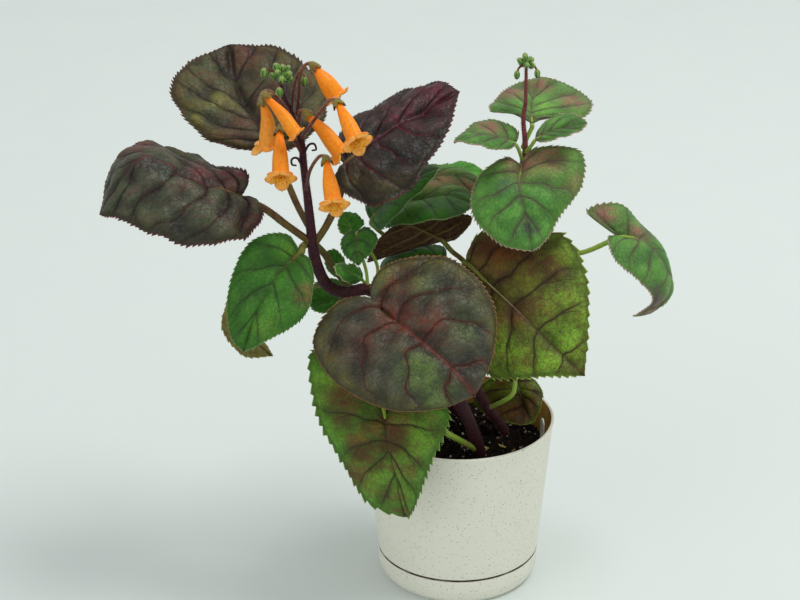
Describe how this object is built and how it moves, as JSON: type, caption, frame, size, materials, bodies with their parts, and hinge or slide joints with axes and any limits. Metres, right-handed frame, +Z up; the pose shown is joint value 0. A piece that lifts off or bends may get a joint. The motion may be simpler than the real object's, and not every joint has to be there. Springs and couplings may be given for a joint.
{
  "type": "potted flowering plant",
  "caption": "Potted smithiantha with broad velvety toothed leaves in bronze and green, and a loose spike of hanging orange bell flowers, in a small speckled off-white pot with a saucer.",
  "frame": {"origin": "centre of the saucer's flat underside", "axes": "+Z up along the pot's axis, -Y towards the side that the big front leaf faces, +X to the right of a viewer there"},
  "size_m": [0.3111, 0.1814, 0.3193],
  "materials": {
    "pot_plastic": "satin off-white with fine grey specks",
    "label_plastic": "blank white, matt",
    "soil_mix": "rough dark potting mix with pale bits",
    "stem_velvet": "dark purple with a velvet of short hairs",
    "leaf_bronze": "velvety bronze-green with dark red veins",
    "leaf_wine": "velvety wine-red and green",
    "leaf_green": "velvety green with purple veins",
    "leaf_light_green": "soft young green",
    "leaf_olive": "velvety olive with brown patches",
    "leaf_brown": "dull brown underside",
    "corolla_orange": "softly glossy orange with a yellow throat",
    "calyx_green": "hairy green-brown",
    "bud_green": "hairy green"
  },
  "bodies": {
    "root": {"pot": "pot_plastic", "saucer": "pot_plastic", "plant_label": "label_plastic", "soil": "soil_mix", "stem_1": "stem_velvet", "stem_2": "stem_velvet", "stem_3": "stem_velvet", "leaf_top_back": "leaf_bronze", "leaf_top_left": "leaf_wine", "leaf_top_right": "leaf_wine", "leaf_lower_left": "leaf_green", "leaf_curled_left": "leaf_olive", "leaf_big_front": "leaf_bronze", "leaf_over_pot": "leaf_olive", "leaf_front_right": "leaf_olive", "leaf_right_hanging": "leaf_green", "leaf_right_top": "leaf_green", "leaf_right_small_1": "leaf_green", "leaf_right_small_2": "leaf_green", "leaf_far_right": "leaf_green", "leaf_middle_left": "leaf_green", "leaf_middle_front": "leaf_green", "leaf_middle_back": "leaf_green", "leaf_middle_far": "leaf_light_green", "leaf_brown_underside": "leaf_brown", "leaf_heart": "leaf_green", "leaf_small_1": "leaf_light_green", "leaf_small_2": "leaf_light_green", "leaf_small_3": "leaf_light_green", "leaf_small_4": "leaf_light_green", "leaf_in_pot": "leaf_olive", "leaf_shaded": "leaf_green", "corolla_1": "corolla_orange", "corolla_2": "corolla_orange", "corolla_3": "corolla_orange", "corolla_4": "corolla_orange", "corolla_5": "corolla_orange", "corolla_6": "corolla_orange", "corolla_7": "corolla_orange", "calyx_1": "calyx_green", "calyx_2": "calyx_green", "calyx_3": "calyx_green", "calyx_4": "calyx_green", "calyx_5": "calyx_green", "calyx_6": "calyx_green", "calyx_7": "calyx_green", "buds_1": "bud_green", "buds_2": "bud_green", "bud_side": "bud_green"}
  },
  "joints": []
}
